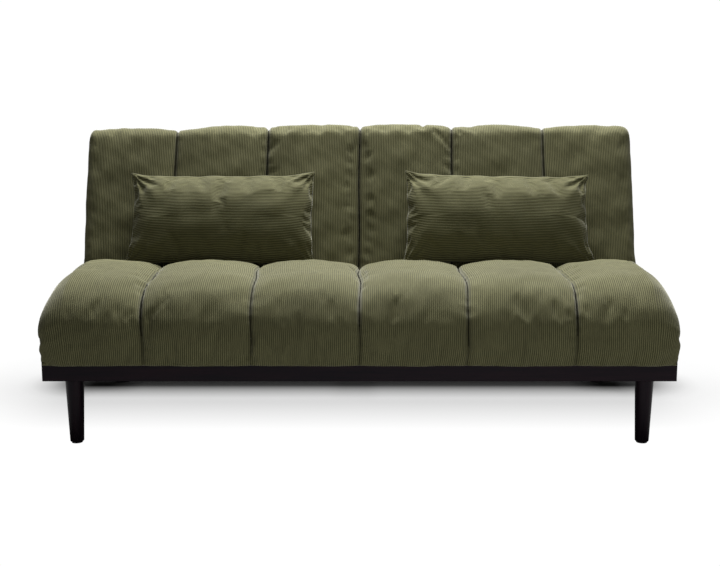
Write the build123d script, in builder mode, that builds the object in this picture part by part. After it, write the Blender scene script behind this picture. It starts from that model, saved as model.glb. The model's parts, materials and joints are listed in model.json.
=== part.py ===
from build123d import *

import os
from math import cos, radians, sin

# Click-clack futon sofa bed, in millimetres. +X is across the sofa, -Y is the front, +Z is up.
# The origin is on the floor, at the middle of the footprint.

# Overall size
seat_width = 1752
seat_depth = 530
seat_top = 452
seat_hem = 232
back_width = 1736
back_thickness = 130
back_reach = 490
recline = 20
hinge_setback = 597
hinge_height = 386

# Upholstery
fabric = 1.5
seat_corner = 20
seat_edge_round = 45
back_edge_round = 40
back_end_round = 25
pillow_size = (560, 300, 110)
pillow_corner = 60
pillow_edge_round = 50
pillow_centre_x = 420
pillow_lift = 47
soft_gap = 0.5
ease = 0.3

# Base and legs
rail_length = 1733
rail_thick = 22
rail_bottom = 187
rail_top = 239
rail_setback = 12
base_depth = 780
leg_inset = 76
leg_setback = 50
leg_top_radius = 26
leg_foot_radius = 19
glide_height = 3
plate_thick = 2.5
block_size = (130, 90, 44)

# Frames inside the cushions
board = 22
seat_board_top = rail_top + 60
seat_frame_width = 1724
seat_frame_setback = 14
seat_frame_depth = 502
back_frame_half = 844
back_frame_front = -15
back_frame_rear = -60
back_frame_low = 60
back_frame_high = 455
centre_board_x = 280
spring_xs = (-748, -612, -476, -340, -204, -68, 68, 204, 340, 476, 612, 748)
wire_radius = 1.9
spring_height = seat_board_top + 3.4
spring_half_width = 25

# Hinges
notch_inner = 780
notch_outer = 828
cheek_inner = 808
plate = 4
ratchet_inner = 812.5
arm_inner = 818
pivot_radius = 6
pawl_pin_radius = 4
running = 0.05
pawl_pivot = (-55, 1)
bracket_low = rail_top + 4
bracket_high = rail_top + 58
pawl_tip = (-29.8, -25.0)
contact_angle = -140
spiral_radius = 37.9
spiral_rise = 0.1
tooth_depth = 3
tooth_pitch = 8

# Worked out from the sizes above
lean_sin = sin(radians(recline))
lean_cos = cos(radians(recline))
back_half_thick = back_thickness / 2
depth_at_rear_edge = (back_reach - back_edge_round) * lean_sin + (back_half_thick - back_edge_round) * lean_cos
overall_depth = hinge_setback + depth_at_rear_edge + back_edge_round
front_y = -overall_depth / 2
hinge_y = front_y + hinge_setback
rail_front = front_y + rail_setback
rail_rear = rail_front + base_depth
rail_end = rail_length / 2
side_rail_inner = rail_end - rail_thick
leg_x = rail_end - leg_inset
leg_ys = (rail_front + leg_setback, rail_rear - leg_setback - 2)
leg_top = rail_bottom + 1.5
block_low = leg_top + plate_thick
seat_front_board = front_y + seat_frame_setback
seat_rear_board = seat_front_board + seat_frame_depth
seat_frame_end = seat_frame_width / 2

os.makedirs("parts", exist_ok=True)


def save(part, name):
    """Label a finished sub-part and write it as its own STEP file."""
    part.label = name
    export_step(part, f"parts/{name}.step")


def across(x, y=0, z=0):
    """A plane facing +X at x, with its own x along +Y and its own y along +Z."""
    return Plane(origin=(x, y, z), x_dir=(0, 1, 0), z_dir=(1, 0, 0))


def slab(x):
    """A plane facing +X on the hinge axis, with its own x up the backrest and its own y out of its front."""
    return Plane(origin=(x, hinge_y, hinge_height), x_dir=(0, lean_sin, lean_cos), z_dir=(1, 0, 0))


def beam(low, high):
    """A rectangular block between two corners, each (x, y, z)."""
    centre = ((low[0] + high[0]) / 2, (low[1] + high[1]) / 2)
    with BuildPart() as block:
        with BuildSketch(Plane.XY.offset(low[2])):
            with Locations(centre):
                Rectangle(high[0] - low[0], high[1] - low[1])
        extrude(amount=high[2] - low[2])
    return block.part


def slab_beam(x_span, up_span, out_span):
    """A rectangular block in the backrest's own directions: across, up the slab, out of its front."""
    centre = (sum(up_span) / 2, sum(out_span) / 2)
    with BuildPart() as block:
        with BuildSketch(slab(x_span[0])):
            with Locations(centre):
                Rectangle(up_span[1] - up_span[0], out_span[1] - out_span[0])
        extrude(amount=x_span[1] - x_span[0])
    return block.part


def x_span(side, inner, outer):
    """The X span between two distances from the middle, on the left (-1) or right (+1) side."""
    return tuple(sorted((side * inner, side * outer)))


def peg(side, inner, outer, radius, y, z):
    """A round bar along X on one side of the sofa."""
    low, high = x_span(side, inner, outer)
    with BuildPart() as bar:
        with BuildSketch(across(low, y, z)):
            Circle(radius)
        extrude(amount=high - low)
    return bar.part


def upright(radius, x, y, low, high):
    """A round bar along Z."""
    with BuildPart() as bar:
        with BuildSketch(Plane.XY.offset(low)):
            with Locations((x, y)):
                Circle(radius)
        extrude(amount=high - low)
    return bar.part


# ---------------------------------------------------------------- base


def lengthways_rail(name, y, holes):
    """Front or rear rail, with dowel holes for the centre stretcher in its inner face."""
    with BuildPart() as rail:
        add(beam((-rail_end, y, rail_bottom), (rail_end, y + rail_thick, rail_top)))
        fillet(rail.edges().filter_by(Axis.X).group_by(Axis.Z)[0], radius=3)
        add(holes, mode=Mode.SUBTRACT)
    save(rail.part, name)


def stretcher_dowels(radius):
    """Two dowels in each end of the stretcher, at half depth in each piece."""
    with BuildPart() as dowels:
        for joint_y in (rail_front + rail_thick, rail_rear - rail_thick):
            with BuildSketch(Plane(origin=(0, joint_y - 15, 0), x_dir=(1, 0, 0), z_dir=(0, 1, 0))):
                with Locations((0, -rail_bottom - 16), (0, -rail_bottom - 38)):
                    Circle(radius)
            extrude(amount=30)
    return dowels.part


def seat_bolt_places():
    """Where the bolts rise through the side rails into the seat frame."""
    x = (side_rail_inner + seat_frame_end) / 2
    return [(side * x, front_y + setback) for side in (-1, 1) for setback in (150, 400)]


def seat_bolts(radius, head_radius, tip):
    """Bolts with their heads sunk in the underside of the side rails."""
    with BuildPart() as bolts:
        for x, y in seat_bolt_places():
            add(upright(head_radius, x, y, rail_bottom, rail_bottom + 5))
            add(upright(radius, x, y, rail_bottom, tip))
    return bolts.part


def side_rail(side, name):
    """Side rail between the front and rear rails."""
    low, high = x_span(side, side_rail_inner, rail_end)
    with BuildPart() as rail:
        add(beam((low, rail_front + rail_thick, rail_bottom), (high, rail_rear - rail_thick, rail_top)))
        add(seat_bolts(3 + running, 7, rail_top + 33), mode=Mode.SUBTRACT)
    save(rail.part, name)


def stretcher():
    """Middle rail from front to rear, under the seat frame."""
    with BuildPart() as middle:
        add(beam((-15, rail_front + rail_thick, rail_bottom + 2), (15, rail_rear - rail_thick, rail_top - 0.8)))
        add(stretcher_dowels(4 + running), mode=Mode.SUBTRACT)
    save(middle.part, "centre_stretcher")


def leg(x, y, name):
    """Round tapered leg with a rounded foot, bored for its bolt and for the glide's pin."""
    with BuildPart() as turned:
        with BuildSketch(Plane.XZ.offset(-y)) as outline:
            with BuildLine():
                Polyline((x, glide_height), (x + leg_foot_radius, glide_height), (x + leg_top_radius, leg_top))
                Line((x + leg_top_radius, leg_top), (x, leg_top))
                Line((x, leg_top), (x, glide_height))
            make_face()
            fillet(outline.vertices().group_by(Axis.Y)[0].sort_by(Axis.X)[-1], radius=4)
            fillet(outline.vertices().group_by(Axis.Y)[-1].sort_by(Axis.X)[-1], radius=1.5)
        revolve(axis=Axis((x, y, 0), (0, 0, 1)))
        add(upright(4 + running, x, y, leg_top - 50, leg_top), mode=Mode.SUBTRACT)
        add(upright(2 + running, x, y, glide_height, 15), mode=Mode.SUBTRACT)
    save(turned.part, name)


def leg_places():
    """The four leg axes."""
    return [(side * leg_x, y) for side in (-1, 1) for y in leg_ys]


def foot_glides():
    """Plastic glides under the legs, each with a pin into the wood."""
    with BuildPart() as glides:
        for x, y in leg_places():
            add(upright(15, x, y, 0, glide_height))
            add(upright(2, x, y, 0, 14))
    save(glides.part, "foot_glides")


def leg_bolts():
    """Hanger bolts from the legs up through the plates into the corner blocks."""
    with BuildPart() as bolts:
        for x, y in leg_places():
            add(upright(4, x, y, leg_top - 48, block_low + 35))
    save(bolts.part, "leg_bolts")


def leg_plates():
    """Square steel plates between the legs and the corner blocks."""
    with BuildPart() as plates:
        for x, y in leg_places():
            with BuildSketch(Plane.XY.offset(leg_top)):
                with Locations((x, y)):
                    RectangleRounded(66, 52, 6)
                    Circle(4 + running, mode=Mode.SUBTRACT)
            extrude(amount=plate_thick)
    save(plates.part, "leg_plates")


def block_bounds(side, end):
    """X and Y spans of one corner block, against its side rail and its front (0) or rear (1) rail."""
    xs = x_span(side, side_rail_inner - block_size[0], side_rail_inner)
    if end == 0:
        return xs, (rail_front + rail_thick, rail_front + rail_thick + block_size[1])
    return xs, (rail_rear - rail_thick - block_size[1], rail_rear - rail_thick)


def block_screw_planes():
    """Where each corner block's two screws start, facing into its rails, and how deep each well is."""
    planes = []
    for side in (-1, 1):
        for end, outward in ((0, -1), (1, 1)):
            rail_y = block_bounds(side, end)[1][end]
            side_point = (side * (side_rail_inner - 30), rail_y - outward * 78, block_low + 12)
            long_point = (side * (side_rail_inner - 15), rail_y - outward * 30, block_low + 30)
            planes.append((Plane(origin=side_point, x_dir=(0, 1, 0), z_dir=(side, 0, 0)), block_size[0] - 30))
            planes.append((Plane(origin=long_point, x_dir=(1, 0, 0), z_dir=(0, outward, 0)), block_size[1] - 30))
    return planes


def wood_screw(plane, length, head_radius=4.5, shank_radius=2.2, head=3):
    """A wood screw that starts with its head at the plane and runs along the plane's normal."""
    with BuildPart() as screw:
        with BuildSketch(plane):
            Circle(head_radius)
        extrude(amount=head)
        with BuildSketch(plane):
            Circle(shank_radius)
        extrude(amount=length)
    return screw.part


def block_screws():
    """One screw from each corner block into its side rail and one into its long rail."""
    with BuildPart() as screws:
        for plane, _ in block_screw_planes():
            add(wood_screw(plane, 44))
    save(screws.part, "block_screws")


def corner_blocks():
    """Wooden blocks that join the rails and take the leg bolts."""
    with BuildPart() as blocks:
        for side in (-1, 1):
            for end in (0, 1):
                xs, ys = block_bounds(side, end)
                add(beam((xs[0], ys[0], block_low), (xs[1], ys[1], block_low + block_size[2])))
        for x, y in leg_places():
            add(upright(4 + running, x, y, block_low, block_low + 36), mode=Mode.SUBTRACT)
        for plane, depth in block_screw_planes():
            with BuildSketch(plane.offset(3)):
                Circle(5)
            extrude(amount=-depth - 3, mode=Mode.SUBTRACT)
    save(blocks.part, "corner_blocks")


lengthways_rail("front_rail", rail_front, stretcher_dowels(4 + running))
lengthways_rail("rear_rail", rail_rear - rail_thick, stretcher_dowels(4 + running))
side_rail(-1, "left_side_rail")
side_rail(1, "right_side_rail")
stretcher()
save(stretcher_dowels(4), "stretcher_dowels")
for (x, y), name in zip(leg_places(), ("front_left_leg", "rear_left_leg", "front_right_leg", "rear_right_leg")):
    leg(x, y, name)
foot_glides()
leg_bolts()
leg_plates()
block_screws()
corner_blocks()
save(seat_bolts(3, 6, rail_top + 30), "seat_frame_bolts")


# ---------------------------------------------------------------- seat


def seat_block(inset, low):
    """The seat cushion's outer shape, drawn in by inset, standing on the height low."""
    width, depth, top = seat_width - 2 * inset, seat_depth - 2 * inset, seat_top - inset
    middle = front_y + seat_depth / 2
    tall = 2 * (top - low)
    with BuildPart() as block:
        with BuildSketch(Plane.XY.offset(low)):
            with Locations((0, middle)):
                RectangleRounded(width, depth, seat_corner - inset)
        extrude(amount=top - low)
        with BuildSketch(Plane.XZ.offset(-middle)):
            with Locations((0, low)):
                RectangleRounded(width, tall, seat_edge_round - inset)
        extrude(amount=depth, both=True, mode=Mode.INTERSECT)
        with BuildSketch(across(0)):
            with Locations((middle, low)):
                RectangleRounded(depth, tall, seat_edge_round - inset)
        extrude(amount=width, both=True, mode=Mode.INTERSECT)
    return block.part


def bracket_clearances():
    """Notches in the back of the seat cushion around the two hinge brackets."""
    with BuildPart() as notches:
        for side in (-1, 1):
            low, high = x_span(side, 736, cheek_inner + plate + 4)
            add(beam((low, seat_rear_board, seat_hem - 10), (high, front_y + seat_depth + 10, rail_top + 82)))
    return notches.part


def seat_cover():
    """Fabric cover, open underneath, with its hem below the top of the rails and lifted over the side rails."""
    hem_clear = ((-seat_width / 2 - 5, seat_rear_board, seat_hem - 10),
                 (seat_width / 2 + 5, front_y + seat_depth + 10, rail_top + 1))
    with BuildPart() as cover:
        add(seat_block(0, seat_hem))
        add(seat_block(fabric, seat_hem - 10), mode=Mode.SUBTRACT)
        add(bracket_clearances(), mode=Mode.SUBTRACT)
        add(beam(*hem_clear), mode=Mode.SUBTRACT)
    save(cover.part, "seat_cover")


def seat_foam():
    """Foam block on the springs, with a skirt around the frame."""
    hollow = ((-seat_frame_end, seat_front_board, rail_top - 10),
              (seat_frame_end, seat_rear_board, seat_board_top + 9))
    with BuildPart() as foam:
        add(seat_block(fabric + ease, rail_top + 4))
        add(beam(*hollow), mode=Mode.SUBTRACT)
        add(bracket_clearances(), mode=Mode.SUBTRACT)
    save(foam.part, "seat_foam")


def seat_boards():
    """The four outer boards of the seat frame and its two lower cross boards."""
    low, high = rail_top, seat_board_top
    front, rear = seat_front_board, seat_rear_board
    save(beam((-seat_frame_end, front, low), (seat_frame_end, front + board, high)), "seat_front_board")
    save(beam((-seat_frame_end, rear - board, low), (seat_frame_end, rear, high)), "seat_rear_board")
    for side, name in ((-1, "seat_left_board"), (1, "seat_right_board")):
        left, right = x_span(side, seat_frame_end - board, seat_frame_end)
        with BuildPart() as end_board:
            add(beam((left, front + board, low), (right, rear - board, high)))
            add(seat_bolts(3 + running, 7, rail_top + 33), mode=Mode.SUBTRACT)
        save(end_board.part, name)
    with BuildPart() as cross_boards:
        for x in (-centre_board_x, centre_board_x):
            add(beam((x - board / 2, front + board, low), (x + board / 2, rear - board, high - 10)))
    save(cross_boards.part, "seat_cross_boards")


def spring_ends():
    """Y of the springs' front and rear end bars, over the middle of the boards."""
    return seat_front_board + board / 2, seat_rear_board - board / 2


def seat_springs():
    """Sinuous springs from the front board to the rear board."""
    rows = 19
    start, end = spring_ends()
    pitch = (end - start) / (rows - 1)
    points = [(-20, start)]
    for row in range(rows - 1):
        x = spring_half_width if row % 2 == 0 else -spring_half_width
        points.append((x, start + row * pitch))
        points.append((x, start + (row + 1) * pitch))
    points.append((20, end))
    with BuildPart() as spring:
        with BuildLine(Plane.XY.offset(spring_height)) as path:
            FilletPolyline(*points, radius=pitch * 0.45)
        with BuildSketch(Plane(origin=path.line @ 0, z_dir=path.line % 0)):
            Circle(wire_radius)
        sweep(path=path.line)
    with BuildPart() as springs:
        with Locations(*[(x, 0, 0) for x in spring_xs]):
            add(spring.part)
    save(springs.part, "seat_springs")


def spring_clips():
    """Clips that hold the springs' end bars on the boards."""
    with BuildPart() as clips:
        for x in spring_xs:
            for y in spring_ends():
                with BuildSketch(across(x - 10, y, 0)):
                    with Locations((0, spring_height)):
                        Circle(wire_radius + 1.4)
                    with Locations((0, seat_board_top + 0.6)):
                        Rectangle(16, 1.2)
                    with Locations((0, spring_height)):
                        Circle(wire_radius + 0.1, mode=Mode.SUBTRACT)
                extrude(amount=20)
    save(clips.part, "spring_clips")


def seat_felt():
    """Felt pad between the springs and the foam."""
    low = spring_height + wire_radius + 1.5
    corner = (-seat_frame_end, seat_front_board, low)
    save(beam(corner, (seat_frame_end, seat_rear_board, seat_board_top + 9)), "seat_felt_pad")


def dust_cover():
    """Thin cloth stapled under the seat frame."""
    low = (-side_rail_inner + 2, rail_front + rail_thick + 2, rail_top - 0.8)
    save(beam(low, (side_rail_inner - 2, seat_rear_board - 2, rail_top)), "seat_dust_cover")


seat_cover()
seat_foam()
seat_boards()
seat_springs()
spring_clips()
seat_felt()
dust_cover()


# ---------------------------------------------------------------- backrest


def slab_block(inset):
    """The backrest's outer shape, drawn in by inset: round about the hinge axis below, eased above."""
    half = back_half_thick - inset
    top = back_reach - inset
    with BuildPart() as block:
        with BuildSketch(slab(-back_width / 2 + inset)) as profile:
            with Locations((top / 2, 0)):
                Rectangle(top, 2 * half)
            fillet(profile.vertices().group_by(Axis.X)[-1], radius=back_edge_round - inset)
            Circle(half)
        extrude(amount=back_width - 2 * inset)
        ends = block.faces().filter_by(Axis.X)
        fillet(ends.edges(), radius=back_end_round - inset)
    return block.part


def hinge_notches():
    """Slots through the low edge of the backrest, one for each hinge."""
    with BuildPart() as notches:
        for side in (-1, 1):
            span = x_span(side, notch_inner, notch_outer)
            add(slab_beam(span, (-back_thickness, back_frame_low), (-back_thickness, back_thickness)))
    return notches.part


def back_cover():
    """Closed fabric cover with a slot for each hinge."""
    with BuildPart() as cover:
        add(slab_block(0))
        add(slab_block(fabric), mode=Mode.SUBTRACT)
        add(hinge_notches(), mode=Mode.SUBTRACT)
    save(cover.part, "back_cover")


def back_foam():
    """Foam in front of the frame and around its edges."""
    with BuildPart() as foam:
        add(slab_block(fabric + ease))
        hollow = slab_beam((-back_frame_half, back_frame_half), (back_frame_low, back_frame_high),
                           (-back_thickness, back_frame_front + 2))
        add(hollow, mode=Mode.SUBTRACT)
        add(hinge_notches(), mode=Mode.SUBTRACT)
    save(foam.part, "back_foam")


def back_boards():
    """The wooden frame inside the backrest."""
    out = (back_frame_rear, back_frame_front)
    inner = back_frame_half - board
    save(slab_beam((-inner, inner), (back_frame_high - board, back_frame_high), out), "back_top_board")
    low_inner = arm_inner - 0.5
    low_up = (back_frame_low, back_frame_low + board)
    save(slab_beam((-low_inner, low_inner), low_up, out), "back_bottom_board")
    for side, name in ((-1, "back_left_board"), (1, "back_right_board")):
        save(slab_beam(x_span(side, inner, back_frame_half), (back_frame_low, back_frame_high), out), name)
    with BuildPart() as centre_boards:
        for x in (-centre_board_x, centre_board_x):
            add(slab_beam((x - board / 2, x + board / 2), (low_up[1], back_frame_high - board), out))
    save(centre_boards.part, "back_centre_boards")


def back_webbing():
    """Elastic straps across the front of the back frame."""
    straps = 4
    first, last = 115, 400
    with BuildPart() as webbing:
        for strap in range(straps):
            middle = first + strap * (last - first) / (straps - 1)
            front = (back_frame_front, back_frame_front + 1.6)
            add(slab_beam((-back_frame_half + 4, back_frame_half - 4), (middle - 25, middle + 25), front))
    save(webbing.part, "back_webbing")


def back_rear_panel():
    """Hardboard panel on the rear of the back frame."""
    panel = slab_beam((-back_frame_half, back_frame_half), (back_frame_low, back_frame_high),
                      (back_frame_rear - 3, back_frame_rear))
    save(panel, "back_rear_panel")


back_cover()
back_foam()
back_boards()
back_webbing()
back_rear_panel()


# ---------------------------------------------------------------- hinges


def hinge_bracket(side, name):
    """Fixed bracket: a flange on the seat's rear board and a cheek that carries both pins."""
    rear = seat_rear_board
    low, high = x_span(side, cheek_inner, cheek_inner + plate)
    pawl_y, pawl_z = pawl_pivot
    outline = (
        (rear, bracket_low), (rear, bracket_high), (front_y + 532.5, rail_top + 84),
        (front_y + 532.5, hinge_height), (hinge_y, hinge_height + 24),
        (hinge_y + 20, hinge_height - 15), (hinge_y - 37, bracket_low),
    )
    with BuildPart() as bracket:
        with BuildSketch(across(low)):
            Polygon(*outline, align=None)
            with Locations((hinge_y, hinge_height)):
                Circle(24)
            with Locations((hinge_y + pawl_y, hinge_height + pawl_z)):
                Circle(10)
        extrude(amount=high - low)
        flange = x_span(side, 740, cheek_inner + plate)
        add(beam((flange[0], rear, bracket_low), (flange[1], rear + plate, bracket_high)))
        bore = peg(side, cheek_inner, cheek_inner + plate, pivot_radius + running, hinge_y, hinge_height)
        add(bore, mode=Mode.SUBTRACT)
        pawl_bore = peg(side, cheek_inner, cheek_inner + plate, pawl_pin_radius + running,
                        hinge_y + pawl_y, hinge_height + pawl_z)
        add(pawl_bore, mode=Mode.SUBTRACT)
    save(bracket.part, name)


def bracket_screws(side, name):
    """Screws through the bracket's flange into the seat's rear board."""
    with BuildPart() as screws:
        for x in (755, 788):
            for z in (bracket_low + 12, bracket_high - 12):
                start = (side * x, seat_rear_board + plate + 3, z)
                add(wood_screw(Plane(origin=start, x_dir=(1, 0, 0), z_dir=(0, -1, 0)), 24))
    save(screws.part, name)


def hinge_arm(side, name):
    """Moving arm on the inside of the back frame's side board."""
    low, high = x_span(side, arm_inner, arm_inner + plate)
    outline = ((-12, -52), (150, -52), (150, -22), (52, -22), (15, 16), (-21, -6))
    with BuildPart() as arm:
        with BuildSketch(slab(low)):
            Polygon(*outline, align=None)
            Circle(22)
            Circle(pivot_radius + running, mode=Mode.SUBTRACT)
        extrude(amount=high - low)
    save(arm.part, name)


def arm_screws(side, name):
    """Screws through the arm into the side board."""
    x = arm_inner - 3
    with BuildPart() as screws:
        for up in (95, 118, 141):
            middle = slab(side * x).from_local_coords(Vector(up, -37, 0))
            add(wood_screw(Plane(origin=middle, x_dir=(0, 1, 0), z_dir=(side, 0, 0)), 24))
    save(screws.part, name)


def spiral(angle):
    """Radius of the ratchet's tooth tips at an angle about the hinge axis, in degrees."""
    return spiral_radius + spiral_rise * (angle - contact_angle)


def on_disc(radius, angle):
    """A point at a radius and an angle about the hinge axis."""
    return radius * cos(radians(angle)), radius * sin(radians(angle))


def ratchet(side, name):
    """Toothed sector welded to the arm, its teeth rising along a spiral."""
    first = contact_angle - 2.5 * tooth_pitch
    teeth = 13
    outline = [(0, 0)]
    for tooth in range(teeth):
        angle = first + tooth * tooth_pitch
        outline.append(on_disc(spiral(angle), angle))
        outline.append(on_disc(spiral(angle + tooth_pitch) - tooth_depth, angle + tooth_pitch))
    low, high = x_span(side, ratchet_inner, arm_inner)
    with BuildPart() as disc:
        with BuildSketch(across(low, hinge_y, hinge_height)):
            Polygon(*outline, align=None)
            Circle(23)
            Circle(pivot_radius + running, mode=Mode.SUBTRACT)
        extrude(amount=high - low)
    save(disc.part, name)


def pawl(side, name):
    """Pawl that drops between the teeth and holds the backrest."""
    low, high = x_span(side, ratchet_inner + 0.1, arm_inner - 0.4)
    reach = Vector(pawl_tip[0] - pawl_pivot[0], pawl_tip[1] - pawl_pivot[1])
    inward = Vector(-reach.Y, reach.X).normalized()
    pivot = Vector(*pawl_pivot)
    tip = Vector(*pawl_tip)
    corners = (tip, pivot + inward * 7.9, pivot - inward * 7.9, tip - inward * 7)
    with BuildPart() as lever:
        with BuildSketch(across(low, hinge_y, hinge_height)):
            Polygon(*[(corner.X, corner.Y) for corner in corners], align=None)
            with Locations(pawl_pivot):
                Circle(8)
                Circle(pawl_pin_radius + running, mode=Mode.SUBTRACT)
        extrude(amount=high - low)
    save(lever.part, name)


def pivot_pin(side, name):
    """Riveted pin through the cheek, the ratchet and the arm."""
    with BuildPart() as pin:
        add(peg(side, cheek_inner - plate, cheek_inner, 11, hinge_y, hinge_height))
        add(peg(side, cheek_inner, arm_inner + plate + 0.3, pivot_radius, hinge_y, hinge_height))
        add(peg(side, arm_inner + plate + 0.3, arm_inner + plate + 3.5, 9, hinge_y, hinge_height))
    save(pin.part, name)


def pawl_pin(side, name):
    """Pin that carries the pawl, its head holding the pawl's spring."""
    y, z = hinge_y + pawl_pivot[0], hinge_height + pawl_pivot[1]
    with BuildPart() as pin:
        add(peg(side, cheek_inner - 14, cheek_inner - 12, 7, y, z))
        add(peg(side, cheek_inner - 12, arm_inner - 0.4, pawl_pin_radius, y, z))
    save(pin.part, name)


def pawl_spring(side, name):
    """Coil spring around the pawl's pin."""
    start = min(side * (cheek_inner - 11), side * (cheek_inner - 1.5))
    centre = (start, hinge_y + pawl_pivot[0], hinge_height + pawl_pivot[1])
    with BuildPart() as spring:
        with BuildLine() as coil:
            Helix(pitch=2.3, height=9.2, radius=5.4, center=centre, direction=(1, 0, 0))
        with BuildSketch(Plane(origin=coil.line @ 0, z_dir=coil.line % 0)):
            Circle(0.6)
        sweep(path=coil.line, is_frenet=True)
    save(spring.part, name)


for side, which in ((-1, "left"), (1, "right")):
    hinge_bracket(side, f"{which}_hinge_bracket")
    bracket_screws(side, f"{which}_bracket_screws")
    hinge_arm(side, f"{which}_hinge_arm")
    arm_screws(side, f"{which}_arm_screws")
    ratchet(side, f"{which}_ratchet")
    pawl(side, f"{which}_pawl")
    pivot_pin(side, f"{which}_pivot_pin")
    pawl_pin(side, f"{which}_pawl_pin")
    pawl_spring(side, f"{which}_pawl_spring")


# ---------------------------------------------------------------- pillows


def pillow_block(side, inset):
    """A lumbar pillow's outer shape, drawn in by inset, leaning against the backrest."""
    width, height, thick = (size - 2 * inset for size in pillow_size)
    up = pillow_lift + pillow_size[1] / 2
    out = back_half_thick + soft_gap + pillow_size[2] / 2
    middle = slab(side * pillow_centre_x).from_local_coords(Vector(up, out, 0))
    flat = Plane(origin=middle, x_dir=(1, 0, 0), z_dir=(0, -lean_cos, lean_sin))
    with BuildPart() as block:
        with BuildSketch(flat):
            RectangleRounded(width, height, pillow_corner - inset)
        extrude(amount=thick / 2, both=True)
        faces = block.faces().sort_by(Axis(middle, flat.z_dir))
        fillet(faces[0].edges() + faces[-1].edges(), radius=pillow_edge_round - inset)
    return block.part


for side, which in ((-1, "left"), (1, "right")):
    with BuildPart() as pillow_cover:
        add(pillow_block(side, 0))
        add(pillow_block(side, fabric), mode=Mode.SUBTRACT)
    save(pillow_cover.part, f"{which}_pillow_cover")
    save(pillow_block(side, fabric + ease), f"{which}_pillow_insert")
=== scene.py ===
# %% [markdown]
# Futon sofa bed: the looks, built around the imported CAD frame.
# The wooden base, the legs and the hinges come from the frame as they are and only get better materials.
# The upholstery is what this lesson makes: a channelled seat, a channelled back that folds flat, and two
# loose pillows, all in the same wide-wale corduroy.

# %% Load the frame
import json
from math import pi, radians

import bpy
import numpy as np
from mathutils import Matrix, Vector


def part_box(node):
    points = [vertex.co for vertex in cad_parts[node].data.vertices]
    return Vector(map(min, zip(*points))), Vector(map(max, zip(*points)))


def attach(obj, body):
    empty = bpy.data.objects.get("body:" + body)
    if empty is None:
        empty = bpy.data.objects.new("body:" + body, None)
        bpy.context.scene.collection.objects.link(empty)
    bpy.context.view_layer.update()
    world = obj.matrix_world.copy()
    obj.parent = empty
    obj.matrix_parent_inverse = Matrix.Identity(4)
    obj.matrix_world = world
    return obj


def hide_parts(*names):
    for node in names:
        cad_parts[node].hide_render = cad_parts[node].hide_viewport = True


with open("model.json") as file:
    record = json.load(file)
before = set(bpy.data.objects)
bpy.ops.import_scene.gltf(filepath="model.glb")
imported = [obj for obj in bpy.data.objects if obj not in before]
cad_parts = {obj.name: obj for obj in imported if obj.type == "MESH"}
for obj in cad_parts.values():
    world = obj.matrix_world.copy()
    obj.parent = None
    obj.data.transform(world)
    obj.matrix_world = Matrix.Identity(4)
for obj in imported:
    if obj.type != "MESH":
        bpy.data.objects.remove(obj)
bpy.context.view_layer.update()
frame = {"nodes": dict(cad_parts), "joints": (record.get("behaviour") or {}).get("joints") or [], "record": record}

MM = 0.001

# %% [markdown]
# The camera stands straight in front of the sofa and a little above it. Its longish lens keeps the seat and
# the back at nearly the same width.

# %% Camera
seat_low, seat_high = (np.array(corner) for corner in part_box("seat_cover"))
camera_distance = 3.008
camera_height = 0.982
camera_pitch = 9.8
bpy.ops.object.camera_add(
    location=(0.0014, seat_low[1] - camera_distance, camera_height),
    rotation=(radians(90 - camera_pitch), 0, 0))
camera = bpy.context.object
camera.data.lens = 56.95
bpy.context.scene.camera = camera
print("camera", camera_distance, "m in front of the seat")

# %% [markdown]
# Materials are small node trees. One helper adds a node with its values and links in one line, so that each
# finish reads like a recipe. The floor uses the same helpers as the cloth and the wood.

# %% Material helpers
def new_finish(name):
    """An empty finish: its material and its Principled shader."""
    material = bpy.data.materials.new(name)
    material.use_nodes = True
    return material, material.node_tree.nodes["Principled BSDF"]


def node(material, kind, links=(), **values):
    """Add a node. links is (input, socket) pairs; values set its properties or its inputs by name."""
    made = material.node_tree.nodes.new("ShaderNode" + kind)
    for key, value in values.items():
        if hasattr(made, key):
            setattr(made, key, value)
        else:
            made.inputs[key.replace("_", " ")].default_value = value
    for place, socket in links:
        material.node_tree.links.new(socket, made.inputs[place])
    return made


def wire(material, socket, target):
    """Link a socket to an input."""
    material.node_tree.links.new(socket, target)


def ramp(material, factor, *stops):
    """A colour ramp through (position, grey or colour) stops."""
    made = node(material, "ValToRGB", [(0, factor)])
    elements = made.color_ramp.elements
    while len(elements) < len(stops):
        elements.new(0.5)
    for element, (position, colour) in zip(elements, stops):
        element.position = position
        element.color = (*colour, 1) if isinstance(colour, tuple) else (colour, colour, colour, 1)
    return made.outputs[0]


# %% [markdown]
# The floor is pale paper. Under the rear of the sofa a painted shadow darkens it, and away from there it
# turns into the same white as the surround, so that the sofa stands on nothing but its cast and painted shadow.

# %% Floor
painted_shadow_y, painted_shadow_half_width = 0.31, 0.90
white_paper = 1.02
bpy.ops.mesh.primitive_plane_add(size=60)
floor = bpy.context.object
floor.name = "studio_floor"
floor_paint, floor_shader = new_finish("studio_floor")
floor_shader.inputs["Roughness"].default_value = 0.9
floor_shader.inputs["Specular IOR Level"].default_value = 0.1
spot = node(floor_paint, "SeparateXYZ", [(0, node(floor_paint, "TexCoord").outputs["Object"])])
behind = node(floor_paint, "Math", [(0, spot.outputs[1])], operation="SUBTRACT")
behind.inputs[1].default_value = painted_shadow_y
aside = node(floor_paint, "Math", [(0, spot.outputs[0])], operation="ABSOLUTE")
past_end = node(floor_paint, "Math", [(0, aside.outputs[0])], operation="SUBTRACT", use_clamp=True)
past_end.inputs[1].default_value = painted_shadow_half_width
from_strip = node(floor_paint, "CombineXYZ", [(0, past_end.outputs[0]), (1, behind.outputs[0])])
reach = node(floor_paint, "VectorMath", [(0, from_strip.outputs[0])], operation="LENGTH").outputs["Value"]
# painted shadow: the floor's own colour is darkened in a strip under the rear of the sofa
shaded = ramp(floor_paint, reach, (0.04, 0.03), (0.24, 0.45))
wire(floor_paint, shaded, floor_shader.inputs["Base Color"])
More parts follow.
